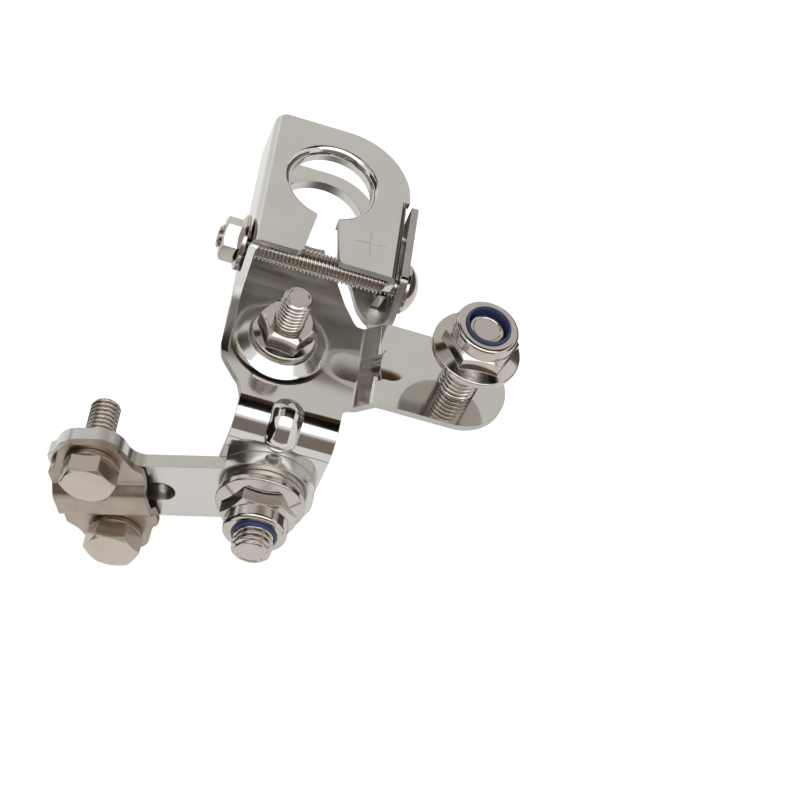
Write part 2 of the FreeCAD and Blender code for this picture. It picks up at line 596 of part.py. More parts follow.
way("bolt_way", "Sizes.bolt_size / 2 + Sizes.hole_play", s.left_face + s.inner_face + 1.2,
    Vector(-s.left_face - 1, -s.bolt_depth, s.bolt_level), Vector(1, 0, 0))
square = doc.addObject("Part::Box", "neck_way")
square.setExpression("Width", "Sizes.bolt_size + 2 * Sizes.fit")
square.setExpression("Height", "Sizes.bolt_size + 2 * Sizes.fit")
square.Length = s.sheet + 1
square.Placement = Placement(Vector(outer_face - s.sheet - 0.5, -s.bolt_depth - s.bolt_size / 2 - s.fit,
                                    s.bolt_level - s.bolt_size / 2 - s.fit), Rotation())
tools.append(square)
way("small_stud_way", "Sizes.small_thread / 2", s.boss_rise + 6,
    Vector(-s.boss_left, -s.boss_front, -4), Vector(0, 0, 1))
way("arm_stud_way", "Sizes.big_thread / 2", s.sheet + 6,
    Vector(s.arm_reach, -s.arm_front, s.arm_level - s.sheet - 3), Vector(0, 0, 1))
way("front_stud_way", "Sizes.big_thread / 2", s.sheet + 6,
    Vector(s.tab_shift, -s.tab_face + s.sheet + 3, -s.front_drop), Vector(0, -1, 0))

# Polarity sign, pressed into the upper plate
for name, turned in (("plus_long", 3), ("plus_cross", 93)):
    bar = doc.addObject("Part::Box", name)
    bar.setExpression("Length", "Sizes.plus_length")
    bar.setExpression("Width", "Sizes.plus_width")
    spin = Rotation(Vector(0, 0, 1), turned)
    corner = spin.multVec(Vector(-s.plus_length / 2, -s.plus_width / 2, 0))
    bar.Placement = Placement(Vector(s.plus_right, -s.plus_front, s.plate_height - s.plus_depth) + corner,
                              spin)
    tools.append(bar)

blank = doc.addObject("Part::MultiFuse", "blank")
blank.Shapes = [upper_plate, inner_flange, left_wall, lower_plate, ear, arm, tab, rib, boss] + bead + caps
blank.Refine = True
ways = doc.addObject("Part::MultiFuse", "ways")
ways.Shapes = tools
clamp_body = doc.addObject("Part::Cut", "clamp_body")
clamp_body.Base = blank
clamp_body.Tool = ways
clamp_body.Refine = True
nodes = [clamp_body]
doc.recompute()


# Fasteners. Each is drawn on the Z axis, seat at z = 0, then placed
def placed(body, x, y, z, direction, angle=0):
    body.Placement = Placement(Vector(x, y, z), Rotation(Vector(0, 0, 1), Vector(*direction)).multiply(
        Rotation(Vector(0, 0, 1), angle)))
    nodes.append(body)
    doc.recompute()
    return body


def stud(name, radius, length, head_radius, sunk):
    """Threaded stud with a low head under the sheet and a chamfered end."""
    body = new_body(name)
    cut = 0.1 * 2 * radius
    low = -sunk - s.stud_head
    section = [(0, low, 0), (head_radius, low, 0.5), (head_radius, -sunk, 0), (radius, -sunk, 0),
               (radius, length - cut, 0), (radius - cut, length, 0), (0, length, 0)]
    sketch = draw(body, name + "_section", "XZ_Plane", 0, rounded(section))
    revolve(body, name + "_turned", sketch)
    return body


def hex_part(body, name, flats, bottom, top, topped):
    """Hexagon with its corners turned off at the top."""
    sketch = draw(body, name + "_hexagon", "XY_Plane", bottom, hexagon(flats, 0))
    pad(body, name + "_flats", sketch, top - bottom)
    out = flats / math.sqrt(3) + 0.5
    inside = flats / 2 * topped
    drop = (out - inside) * math.tan(math.radians(30))
    sketch = draw(body, name + "_corner", "XZ_Plane", 0,
                  rounded([(inside, top, 0), (out, top - drop, 0), (out, top + 1, 0),
                           (inside, top + 1, 0)]))
    groove(body, name + "_corners", sketch)


def flange_nut(name, thread, flats, flange, height, hex_top, collar_radius=0):
    """Hexagon nut on a conical flange, with a collar for a nylon ring where one is given."""
    body = new_body(name)
    bore = thread / 2 + s.fit
    hex_part(body, name, flats, 0.6, hex_top, 0.92)
    rim = 0.16 * flats / 2 + 0.3
    slope = min(hex_top * 0.55, rim + (flange - flats / 2) * 0.55)
    section = [(bore, 0, 0), (flange, 0, 0.25), (flange, rim, 0.35),
               (flats / 2 - 0.4, slope, 0), (bore, slope, 0)]
    sketch = draw(body, name + "_flange_section", "XZ_Plane", 0, rounded(section))
    revolve(body, name + "_flange", sketch)
    if collar_radius:
        neck = hex_top - 1.2
        lip = s.ring_radius + s.fit
        section = [(bore, neck, 0), (collar_radius, neck, 0), (collar_radius, height, 0.8),
                   (lip, height, 0), (lip, height - 0.5, 0), (collar_radius - 0.8, height - 0.5, 0),
                   (collar_radius - 0.8, neck + 0.6, 0), (bore, neck + 0.6, 0)]
        sketch = draw(body, name + "_collar_section", "XZ_Plane", 0, rounded(section))
        revolve(body, name + "_collar", sketch)
        hollow = [(0, neck + 0.6, 0), (collar_radius - 0.8, neck + 0.6, 0),
                  (collar_radius - 0.8, height - 0.5, 0), (lip, height - 0.5, 0),
                  (lip, height + 1, 0), (0, height + 1, 0)]
        sketch = draw(body, name + "_recess_section", "XZ_Plane", 0, rounded(hollow))
        groove(body, name + "_recess", sketch)
    sketch = draw(body, name + "_bore", "XY_Plane", 0, circle(0, 0, bore))
    pocket(body, name + "_thread", sketch)
    return body


def lock_ring(name, thread):
    """Nylon ring that fills the nut's recess and shows above its collar."""
    body = new_body(name)
    bore = thread / 2 + s.fit
    low = s.big_nut_hex - 1.2 + 0.6
    high = s.big_nut_collar - 0.5
    section = [(bore, low, 0), (s.collar_radius - 0.8, low, 0), (s.collar_radius - 0.8, high, 0),
               (s.ring_radius, high, 0), (s.ring_radius, s.big_nut_collar + s.ring_rise, 0.25),
               (bore, s.big_nut_collar + s.ring_rise, 0)]
    sketch = draw(body, name + "_section", "XZ_Plane", 0, rounded(section))
    revolve(body, name + "_turned", sketch)
    return body


def washer(name, bore, rim, thick):
    body = new_body(name)
    sketch = draw(body, name + "_section", "XZ_Plane", 0,
                  rounded([(bore, 0, 0), (rim, 0, 0.15), (rim, thick, 0.15), (bore, thick, 0)]))
    revolve(body, name + "_turned", sketch)
    return body


# Clamp bolt and its nut, across the slot
clamp_bolt = new_body("clamp_bolt")
nut_face = s.left_face + s.wall_lean + s.seat
reach = outer_face + nut_face + s.clamp_nut_height + s.bolt_tail
thread = s.bolt_size / 2
dome = (s.dome_radius ** 2 + (s.dome_height - s.dome_rim) ** 2) / (2 * (s.dome_height - s.dome_rim))
middle = math.radians(0.5 * math.degrees(math.asin(s.dome_radius / dome)))
section = [Part.LineSegment(Vector(0, -reach, 0), Vector(thread - 0.6, -reach, 0)),
           Part.LineSegment(Vector(thread - 0.6, -reach, 0), Vector(thread, -reach + 0.6, 0)),
           Part.LineSegment(Vector(thread, -reach + 0.6, 0), Vector(thread, 0, 0)),
           Part.LineSegment(Vector(thread, 0, 0), Vector(s.dome_radius, 0, 0)),
           Part.LineSegment(Vector(s.dome_radius, 0, 0), Vector(s.dome_radius, s.dome_rim, 0)),
           Part.Arc(Vector(s.dome_radius, s.dome_rim, 0),
                    Vector(dome * math.sin(middle), s.dome_height - dome * (1 - math.cos(middle)), 0),
                    Vector(0, s.dome_height, 0)),
           Part.LineSegment(Vector(0, s.dome_height, 0), Vector(0, -reach, 0))]
sketch = draw(clamp_bolt, "clamp_bolt_section", "XZ_Plane", 0, section)
revolve(clamp_bolt, "clamp_bolt_turned", sketch)
side = s.bolt_size / 2
sketch = draw(clamp_bolt, "neck_outline", "XY_Plane", -s.sheet,
              rounded([(-side, -side, 0.3), (side, -side, 0.3), (side, side, 0.3), (-side, side, 0.3)]))
pad(clamp_bolt, "square_neck", sketch, "Sizes.sheet")
placed(clamp_bolt, outer_face, -s.bolt_depth, s.bolt_level, (1, 0, 0))
clamp_nut = flange_nut("clamp_nut", s.bolt_size, s.clamp_nut_flats, s.clamp_nut_flange,
                       s.clamp_nut_height, s.clamp_nut_height)
placed(clamp_nut, -nut_face, -s.bolt_depth, s.bolt_level, (-1, 0, 0), 0)

# Small stud in the boss, with its nut
sunk = s.boss_rise - (s.boss_rise - s.sheet)
small_stud = stud("small_stud", s.small_thread / 2, s.small_stud_end - s.boss_rise,
                  s.small_stud_head, sunk)
placed(small_stud, -s.boss_left, -s.boss_front, s.boss_rise, (0, 0, 1))
small_stud_nut = flange_nut("small_stud_nut", s.small_thread, s.small_nut_flats,
                            s.small_nut_flange, s.small_nut_height, s.small_nut_height)
placed(small_stud_nut, -s.boss_left, -s.boss_front, s.boss_rise + s.seat, (0, 0, 1),
       s.small_nut_turn)

# Arm stud with its locking nut, wound down part of the way
arm_stud = stud("arm_stud", s.big_thread / 2, s.arm_stud_end, s.big_stud_head, s.sheet)
placed(arm_stud, s.arm_reach, -s.arm_front, s.arm_level, (0, 0, 1))
arm_nut = flange_nut("arm_nut", s.big_thread, s.big_nut_flats, s.big_nut_flange,
                     s.big_nut_collar, s.big_nut_hex, s.collar_radius)
placed(arm_nut, s.arm_reach, -s.arm_front, s.arm_level + s.arm_nut_lift, (0, 0, 1), s.arm_nut_turn)
arm_ring = lock_ring("arm_nut_ring", s.big_thread)
placed(arm_ring, s.arm_reach, -s.arm_front, s.arm_level + s.arm_nut_lift, (0, 0, 1))

# Front stud in the tab, with the link bar, a washer and its locking nut on it
front_stud = stud("front_stud", s.big_thread / 2, s.front_stud_end, s.big_stud_head, s.sheet)
placed(front_stud, s.tab_shift, -s.tab_face, -s.front_drop, (0, -1, 0))
bar_back = -s.tab_face - s.seat
bar_front = bar_back - s.bar_thick
front_washer = washer("front_washer", s.big_thread / 2 + s.hole_play, s.washer_big_rim, s.washer_big)
placed(front_washer, s.tab_shift, bar_front - s.seat, -s.front_drop, (0, -1, 0))
nut_seat = bar_front - s.seat - s.washer_big - s.seat
front_nut = flange_nut("front_nut", s.big_thread, s.big_nut_flats, s.big_nut_flange,
                       s.big_nut_collar, s.big_nut_hex, s.collar_radius)
placed(front_nut, s.tab_shift, nut_seat, -s.front_drop, (0, -1, 0), s.front_nut_turn)
front_ring = lock_ring("front_nut_ring", s.big_thread)
placed(front_ring, s.tab_shift, nut_seat, -s.front_drop, (0, -1, 0))

# Link bar: drawn along X from its eye, front face at z = 0, thickness towards +Z
theta = math.radians(s.bar_angle)
along = Vector(-math.cos(theta), 0, -math.sin(theta))
across = Vector(-math.sin(theta), 0, math.cos(theta))
lay = Rotation(along, across, Vector(0, 1, 0), "ZXY")
bar_place = Placement(Vector(s.tab_shift, bar_front, -s.front_drop), lay)


def both_sides(half):
    """Outline from its upper half (x, y, radius), mirrored about the middle line."""
    return rounded([(x, -y, r) for x, y, r in half] + [(x, y, r) for x, y, r in half[::-1]])


link_bar = new_body("link_bar_blank")
lobe = s.pad_top - s.screw_offset
half = [(0, s.bar_half, 0), (s.pad_neck, s.bar_half, 3.5), (s.bar_reach - lobe, s.pad_top, lobe * 0.95),
        (s.bar_reach + lobe, s.pad_top, lobe * 0.95), (s.pad_end - 1.4, s.screw_offset + 0.9, 1.5),
        (s.pad_end, s.screw_offset + 0.2, 1.2), (s.pad_end, s.bar_half - 1.0, 1.2),
        (s.pad_end - 1.3, s.bar_half - 3.2, 1.5)]
sketch = draw(link_bar, "bar_outline", "XY_Plane", 0, both_sides(half))
pad(link_bar, "bar_sheet", sketch, "Sizes.bar_thick")
sketch = draw(link_bar, "eye_outline", "XY_Plane", 0, circle(0, 0, s.eye_radius))
pad(link_bar, "bar_eye", sketch, "Sizes.bar_thick")
sketch = draw(link_bar, "bar_holes", "XY_Plane", 0,
              circle(0, 0, s.big_thread / 2 + s.fit)
              + circle(s.bar_reach, s.screw_offset, s.small_thread / 2 + s.fit)
              + circle(s.bar_reach, -s.screw_offset, s.small_thread / 2 + s.fit))
pocket(link_bar, "bar_drilled", sketch)
channel = doc.addObject("Part::Cylinder", "channel")
channel.setExpression("Radius", "Sizes.cable_radius")
sink = s.channel_sink - s.cable_radius
inside_end = s.channel_end + math.sqrt(s.cable_radius ** 2 - sink ** 2)
channel.Height = s.pad_end + 5 - inside_end
channel.Placement = Placement(Vector(inside_end, 0, sink), Rotation(Vector(0, 0, 1), Vector(1, 0, 0)))
channel_ball = doc.addObject("Part::Sphere", "channel_end")
channel_ball.setExpression("Radius", "Sizes.cable_radius")
channel_ball.Placement = Placement(Vector(inside_end, 0, sink), Rotation())
channel_tool = doc.addObject("Part::MultiFuse", "channel_tool")
channel_tool.Shapes = [channel, channel_ball]
bar_node = doc.addObject("Part::Cut", "link_bar")
bar_node.Base = link_bar
bar_node.Tool = channel_tool
bar_node.Placement = bar_place
nodes.append(bar_node)
doc.recompute()

# Cover plate: a plate bent over the cable, drawn in the bar's own directions
cover = new_body("cover_plate")
level = -s.cover_gap - s.cover_thick / 2
rise = level - s.cover_hump
half = [(s.cover_top + 1, level, 0), (s.hump_foot, level, s.hump_bend),
        (s.hump_foot - 1.9, rise, s.hump_bend)]
path = [(-x, y, r) for x, y, r in half] + half[::-1]
sketch = draw(cover, "cover_section", "YZ_Plane", 0, folded(path, s.cover_thick))
offset_by(sketch, "Sizes.cover_start")
pad(cover, "cover_sheet", sketch, "Sizes.cover_end - Sizes.cover_start")
top, neck = s.cover_top, s.screw_offset - 1.5
low, high = s.cover_start, s.cover_end
half = [(low + 0.3, 0, 0), (low, neck - 1.2, 1), (low + 1.6, neck + 0.2, 1),
        (s.bar_reach - s.cover_lobe - 2.4, neck + 1.2, 2), (s.bar_reach - s.cover_lobe, top, 4.9),
        (s.bar_reach + s.cover_lobe, top, 4.9), (s.bar_reach + s.cover_lobe + 2.4, neck + 1.2, 2),
        (high - 1.2, neck + 0.2, 1), (high, neck - 1.2, 1), (high - 0.2, 0, 0)]
far = top + 4
for name, mirror in (("upper_side", 1), ("lower_side", -1)):
    trim = [(low - 3, 0, 0)] + half + [(high + 3, 0, 0), (high + 3, far, 0), (low - 3, far, 0)]
    sketch = draw(cover, name + "_outline", "XY_Plane", 0,
                  rounded([(x, mirror * y, r) for x, y, r in trim]))
    pocket(cover, name + "_cut", sketch)
sketch = draw(cover, "cover_holes", "XY_Plane", 0,
              circle(s.bar_reach, s.screw_offset, s.small_thread / 2 + s.hole_play)
              + circle(s.bar_reach, -s.screw_offset, s.small_thread / 2 + s.hole_play))
pocket(cover, "cover_drilled", sketch)
cover.Placement = bar_place
nodes.append(cover)
doc.recompute()

# Cable bolts with their washers
for name, side, angle in (("upper", 1, 20), ("lower", -1, 14)):
    seat_level = -s.cover_gap - s.cover_thick - s.seat
    spot = bar_place.multVec(Vector(s.bar_reach, side * s.screw_offset, seat_level))
    ring = washer(name + "_cable_washer", s.small_thread / 2 + s.hole_play, s.washer_small_rim,
                  s.washer_small)
    placed(ring, spot.x, spot.y, spot.z, (0, -1, 0))
    bolt = new_body(name + "_cable_bolt")
    radius = s.small_thread / 2
    tip = -s.cable_bolt_length
    section = [(0, tip, 0), (radius - 0.6, tip, 0), (radius, tip + 0.6, 0), (radius, 1.0, 0),
               (0, 1.0, 0)]
    hex_part(bolt, name + "_head", s.small_nut_flats, 0, s.cable_bolt_head, 0.97)
    sketch = draw(bolt, name + "_shank_section", "XZ_Plane", 0, rounded(section))
    revolve(bolt, name + "_shank", sketch)
    placed(bolt, spot.x, spot.y - s.washer_small - s.seat, spot.z, (0, -1, 0), angle)

for obj in nodes:
    obj.Label = obj.Name
doc.recompute()
faults = [o.Name for o in doc.Objects if "Invalid" in o.State or "Error" in o.State]
if faults:
    raise RuntimeError("failed objects: " + ", ".join(faults))
for obj in nodes:
    shape = obj.Shape
    if shape.isNull() or not shape.isValid() or len(shape.Solids) != 1:
        raise RuntimeError("%s: %d solids, valid %s" % (obj.Label, len(shape.Solids), shape.isValid()))
os.makedirs("parts", exist_ok=True)
for obj in nodes:
    obj.Shape.exportStep("parts/%s.step" % obj.Label)
    print(obj.Label, round(obj.Shape.Volume, 1))
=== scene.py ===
import bpy
import bmesh
import math
from mathutils import Matrix, Vector
from mathutils.bvhtree import BVHTree


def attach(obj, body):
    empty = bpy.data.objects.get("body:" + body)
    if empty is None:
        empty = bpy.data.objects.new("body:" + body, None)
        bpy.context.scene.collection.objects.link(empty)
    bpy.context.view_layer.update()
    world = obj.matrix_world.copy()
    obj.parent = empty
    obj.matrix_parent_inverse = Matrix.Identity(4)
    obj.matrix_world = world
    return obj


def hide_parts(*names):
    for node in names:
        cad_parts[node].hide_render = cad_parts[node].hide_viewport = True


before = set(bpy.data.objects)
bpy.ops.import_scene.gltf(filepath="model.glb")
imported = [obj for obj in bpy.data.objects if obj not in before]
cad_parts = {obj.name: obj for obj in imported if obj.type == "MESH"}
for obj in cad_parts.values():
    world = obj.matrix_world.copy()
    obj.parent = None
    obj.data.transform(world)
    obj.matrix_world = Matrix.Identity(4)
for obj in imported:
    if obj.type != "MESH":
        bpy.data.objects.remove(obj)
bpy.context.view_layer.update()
MM = 0.001

# The object's places and sizes, in millimetres and degrees, in the CAD model's frame
TAB_MIDDLE = 1.5
TAB_FACE = -56.9
FRONT_STUD_LEVEL = -17.5
ARM_STUD = (32.9, -36.6, 3.6)
SMALL_STUD = (-2.95, -35.7, 2.0)
CLAMP_BOLT = (18.7, -17.7, 5.0)
CABLE_BOLT_SEAT = -63.32
CABLE_BOLT_REACH = 31.8
CABLE_BOLT_OFFSET = 11.05
BAR_DROOP = 23.2
# Threads: radius and pitch
M5 = (2.5, 0.8)
M6 = (3.0, 1.0)
M8 = (4.0, 1.25)


# Materials
def linear(code):
    """sRGB hex to a linear colour with alpha."""
    parts = [int(code[i:i + 2], 16) / 255 for i in (0, 2, 4)]
    return tuple(c / 12.92 if c <= 0.04045 else ((c + 0.055) / 1.055) ** 2.4 for c in parts) + (1.0,)


def add(tree, kind, inputs=None, **settings):
    """Adds a node with its settings: each input named gets a value, or a link from a socket."""
    node = tree.nodes.new(kind)
    for key, value in settings.items():
        setattr(node, key, value)
    for key, value in (inputs or {}).items():
        if isinstance(value, bpy.types.NodeSocket):
            tree.links.new(node.inputs[key], value)
        else:
            node.inputs[key].default_value = value
    return node


def material(name, values):
    """Material whose shader has these values."""
    made = bpy.data.materials.new(name)
    made.use_nodes = True
    shader = made.node_tree.nodes["Principled BSDF"]
    for key, value in values.items():
        shader.inputs[key].default_value = value
    return made, made.node_tree, shader


# Patches on metal: their size (mm), and the part of their range in which the polish changes
PATCH_SIZE = 9
PATCH_RANGE = (0.3, 0.7)


def mottle(tree, shader, patch, patch_range, tones, polish):
    """Lets the tone and the roughness wander from a first to a second with the patches."""
    tone = add(tree, "ShaderNodeMix", {0: patch, 6: linear(tones[0]), 7: linear(tones[1])}, data_type="RGBA")
    tree.links.new(shader.inputs["Base Color"], tone.outputs[2])
    rough = add(tree, "ShaderNodeMapRange", {"Value": patch, "From Min": patch_range[0],
                                             "From Max": patch_range[1], "To Min": polish[0],
                                             "To Max": polish[1]})
    tree.links.new(shader.inputs["Roughness"], rough.outputs["Result"])


def metal(name, colour, dull, rough, rough_spread, edge, grain_size, grain_height):
    """Metal with an uneven polish, a fine grain and, where an edge is given, softened edges (mm)."""
    made, tree, shader = material(name, {"Metallic": 1.0})
    place = add(tree, "ShaderNodeTexCoord").outputs["Object"]
    patch = add(tree, "ShaderNodeTexNoise", {"Vector": place, "Scale": 1 / (PATCH_SIZE * MM),
                                             "Detail": 4.0, "Roughness": 0.6})
    mottle(tree, shader, patch.outputs["Fac"], PATCH_RANGE, (dull, colour), (rough, rough + rough_spread))
    fine = add(tree, "ShaderNodeTexNoise", {"Vector": place, "Scale": 1 / (grain_size * MM),
                                            "Detail": 3.0, "Roughness": 0.6})
    grain = add(tree, "ShaderNodeBump", {"Height": fine.outputs["Fac"], "Strength": 1.0,
                                         "Distance": grain_height * MM})
    if edge:
        soft = add(tree, "ShaderNodeBevel", {"Radius": edge * MM}, samples=4)
        tree.links.new(grain.inputs["Normal"], soft.outputs["Normal"])
    tree.links.new(shader.inputs["Normal"], grain.outputs["Normal"])
    return made


def moulded(name, tones, polish, patch_size, skin):
    """Moulded plastic, faintly mottled, with a fine skin (mm)."""
    made, tree, shader = material(name, {})
    place = add(tree, "ShaderNodeTexCoord").outputs["Object"]
    patch = add(tree, "ShaderNodeTexNoise", {"Vector": place, "Scale": 1 / (patch_size * MM),
                                             "Detail": 3.0, "Roughness": 0.6})
    mottle(tree, shader, patch.outputs["Fac"], (0.0, 1.0), tones, polish)
    grain = add(tree, "ShaderNodeBump", {"Height": patch.outputs["Fac"], "Strength": 1.0,
                                         "Distance": skin * MM})
    tree.links.new(shader.inputs["Normal"], grain.outputs["Normal"])
    return made


# The dish in the stud plate, in mm and degrees: each fade goes from where the dish is gone to where
# it is full, by height, by place behind and in front, and by how far a face looks up
DISH_LEVEL = (2.9, 2.3)
DISH_REAR = (-6, -12)
DISH_FRONT = (-47, -33)
DISH_LEAN = 8.5
DISH_ROUGHNESS = 0.24
DISH_FACING = (0.95, 0.99)
# The bead across the arm's step: its slopes are eased within a distance of its middle, which counts
# half as much along the bead
BEAD_MIDDLE = (14.9, -37.0, 2)
BEAD_STRETCH = (0.5, 1.0, 0.0)
BEAD_FADE = (5.2, 4.4)
BEAD_FACING = (0.8, 0.9)
BEAD_EASE = 2.0


def millimetres(values):
    return [value * MM for value in values]


def reach(tree, fades, share=None):
    """How far a form shows, from 0 to 1: each soft fade goes from where it is gone to where it is full."""
    for source, (gone, full) in fades:
        step = add(tree, "ShaderNodeMapRange", {"Value": source, "From Min": gone, "From Max": full},
                   interpolation_type="SMOOTHSTEP").outputs["Result"]
        if share is None:
            share = step
        else:
            share = add(tree, "ShaderNodeMath", {0: share, 1: step}, operation="MULTIPLY").outputs[0]
    return share


def dish_reach(tree, place):
    """How far the press has dulled the sheet: 1 in the dish, 0 away from it."""
    spot = add(tree, "ShaderNodeSeparateXYZ", {"Vector": place}).outputs
    return reach(tree, [(spot["Z"], millimetres(DISH_LEVEL)), (spot["Y"], millimetres(DISH_REAR)),
                        (spot["Y"], millimetres(DISH_FRONT))])


def bead_reach(tree, place, facing):
    """How far the bead's slopes are eased: 1 on the bead, 0 away from it."""
    offset = add(tree, "ShaderNodeVectorMath", {0: place, 1: millimetres(BEAD_MIDDLE)},
                 operation="SUBTRACT").outputs["Vector"]
    stretched = add(tree, "ShaderNodeVectorMath", {0: offset, 1: BEAD_STRETCH},
                    operation="MULTIPLY").outputs["Vector"]
    away = add(tree, "ShaderNodeVectorMath", {0: stretched}, operation="LENGTH").outputs["Value"]
    return reach(tree, [(away, millimetres(BEAD_FADE)), (facing, BEAD_FACING)])


def press(made):
    """Adds the shallow dull dish round the boss and lets the bead across the arm's step fade out."""
    tree = made.node_tree
    shader = tree.nodes["Principled BSDF"]
    polish = shader.inputs["Roughness"].links[0].from_socket
    normal = shader.inputs["Normal"].links[0].from_socket
    place = add(tree, "ShaderNodeTexCoord").outputs
    facing = add(tree, "ShaderNodeSeparateXYZ", {"Vector": place["Normal"]}).outputs["Z"]
    dish = dish_reach(tree, place["Object"])
    dulled = add(tree, "ShaderNodeMath", {0: dish, 1: DISH_ROUGHNESS, 2: polish}, operation="MULTIPLY_ADD")
    tree.links.new(shader.inputs["Roughness"], dulled.outputs[0])
    lean = add(tree, "ShaderNodeVectorMath", {0: (0, -math.tan(math.radians(DISH_LEAN)), 0),
                                              "Scale": reach(tree, [(facing, DISH_FACING)], dish)},
               operation="SCALE")
    ease = add(tree, "ShaderNodeVectorMath", {0: (0, 0, BEAD_EASE),
                                              "Scale": bead_reach(tree, place["Object"], facing)},
               operation="SCALE")
    both = add(tree, "ShaderNodeVectorMath", {0: lean.outputs["Vector"], 1: ease.outputs["Vector"]},
               operation="ADD")
    tilt = add(tree, "ShaderNodeVectorTransform", {"Vector": both.outputs["Vector"]},
               vector_type="VECTOR", convert_from="OBJECT", convert_to="WORLD")
    leaning = add(tree, "ShaderNodeVectorMath", {0: normal, 1: tilt.outputs["Vector"]}, operation="ADD")
    straight = add(tree, "ShaderNodeVectorMath", {0: leaning.outputs["Vector"]}, operation="NORMALIZE")
    tree.links.new(shader.inputs["Normal"], straight.outputs["Vector"])


# Each metal: colour, duller colour, roughness and its spread, edge, grain size and height (mm). Real
# grain is too fine to show in the render, so it is drawn as coarse as it needs to be
# Bright nickel on the folded sheet: a neutral mirror with a faint ripple
sheet_nickel = metal("bright nickel plated sheet", "D6D4D0", "C4C2BD", 0.05, 0.07, 0.18, 2.5, 0.0003)
press(sheet_nickel)
# Bright nickel on the thick bar: a little duller than the sheet
bar_nickel = metal("bright nickel plated bar", "D4D2CE", "C9C6C2", 0.16, 0.1, 0.3, 1.2, 0.005)
# The sheet's cut edges: sheared and plated over, so grainy and matt
cut_edge = metal("sheared nickel plated edge", "D6D5D1", "A19F9B", 0.36, 0.16, 0.1, 0.5, 0.035)
# Polished stainless fasteners: warm grey with crisp reflections
fastener_steel = metal("polished stainless steel", "CAC4BD", "B4ACA4", 0.07, 0.08, 0.2, 0.6, 0.003)
# Rolled threads of the same steel in a lighter tone, which is painted sheen on the ridges, their ridges left
# sharp
sheen_painted_thread_steel = metal("rolled stainless thread with painted sheen", "D8D3CD", "C0B9B1", 0.13, 0.1, 0, 0.6, 0.003)
# The grooves of every thread: dull, and darkened with painted shade, so the ridges read one by one
shade_painted_thread_root = metal("dull stainless thread root with painted shade", "7A7067", "61574E", 0.35, 0.1, 0, 0.6, 0.003)
# Satin stainless on the cable bolts: light beige, slightly blurred reflections
bolt_steel = metal("satin stainless steel", "D4CBC2", "B3A79C", 0.18, 0.12, 0.25, 0.9, 0.012)
# Rolled threads of the cable bolts, their ridges left sharp
bolt_thread = metal("rolled satin thread", "D4CBC2", "B7ABA0", 0.15, 0.1, 0, 0.5, 0.006)
# Satin stainless cover: warm beige with blurred darker patches
cover_steel = metal("satin pressed stainless steel", "CDBFB3", "7C6F65", 0.24, 0.16, 0.25, 1.0, 0.014)
# Nylon rings: dark blue, faintly mottled, with the fine skin of a moulded part
nylon = moulded("dark blue nylon", ("2A3459", "36426F"), (0.32, 0.46), 1.2, 0.01)

FINISH = {
    "clamp_body": sheet_nickel, "link_bar": bar_nickel, "cover_plate": cover_steel,
    "upper_cable_bolt": bolt_steel, "lower_cable_bolt": bolt_steel,
    "upper_cable_washer": cover_steel, "lower_cable_washer": cover_steel,
    "arm_nut_ring": nylon, "front_nut_ring": nylon,
}
for name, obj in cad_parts.items():
    obj.data.materials.clear()
    obj.data.materials.append(FINISH.get(name, fastener_steel))

# Cut edges of the sheet: the collars and the tab's rib are drawn, not cut
MOST_SHEET = 2.3
RAY_START = 0.02
COLLAR_REACH = 12.3
SLOT_REAR = -8.5
RIB_HALF = 3.4
RIB_REAR = -48.5
RIB_FOOT = -7.5
SIDEWAYS = 0.8
CUT_FACES = 1


def drawn(centre, normal):
    """Whether a face lies on a collar or on the tab's rib, but not on the sides of the slot."""
    x, y, z = centre / MM
    in_slot = y < SLOT_REAR and abs(normal.x) > SIDEWAYS
    on_collar = math.hypot(x, y) < COLLAR_REACH and not in_slot
    on_rib = abs(x - TAB_MIDDLE) < RIB_HALF and y < RIB_REAR and z > RIB_FOOT
    return on_collar or on_rib


def mark_cut_edges(mesh):
    """Gives the sheared finish to faces with more metal behind them than the sheet is thick."""
    mesh.materials.append(cut_edge)
    tree = BVHTree.FromPolygons([v.co for v in mesh.vertices], [p.vertices for p in mesh.polygons])
    for face in mesh.polygons:
        if drawn(face.center, face.normal):
            continue
        depth = tree.ray_cast(face.center - face.normal * RAY_START * MM, -face.normal)[3]
        if depth is None or depth > MOST_SHEET * MM:
            face.material_index = CUT_FACES


mark_cut_edges(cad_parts["clamp_body"].data)


def put(name, data):
    """Adds an object to the scene."""
    obj = bpy.data.objects.new(name, data)
    bpy.context.scene.collection.objects.link(obj)
    return obj


# Threads: points round a ring, rings in a turn, and the profile as shares of the pitch and depth
AROUND = 48
PER_TURN = 10
DEPTH_BY_PITCH = 0.6134
CREST = 0.28
FLANK = 0.62
ROOT_SHARE = 0.55
POINT_DEPTH = 0.9
# The shank's faces lie within this of its radius, and its seam within this of the thread's start (mm)
SHANK_SLACK = 0.02
SEAM = 0.3
HAIR = 1e-6
# The tip's shallow ring: its rim and floor as shares of the tip's radius, and its sink (mm)
TIP_RIM = 0.86
TIP_FLOOR = 0.8
TIP_SINK = 0.15
THREAD_FACES = 1
ROOT_FACES = 2


def shank_faces(work, back, radius, start):
    """Faces of the plain shank, from the thread's start to its end."""
    faces = []
    for face in work.faces:
        spots = [back @ v.co for v in face.verts]
        if all(math.hypot(p.x, p.y) < (radius + SHANK_SLACK) * MM for p in spots):
            low = min(p.z for p in spots)
            high = max(p.z for p in spots)
            if low > (start - SEAM) * MM - HAIR or high > (start + SEAM) * MM:
                faces.append(face)
    return faces


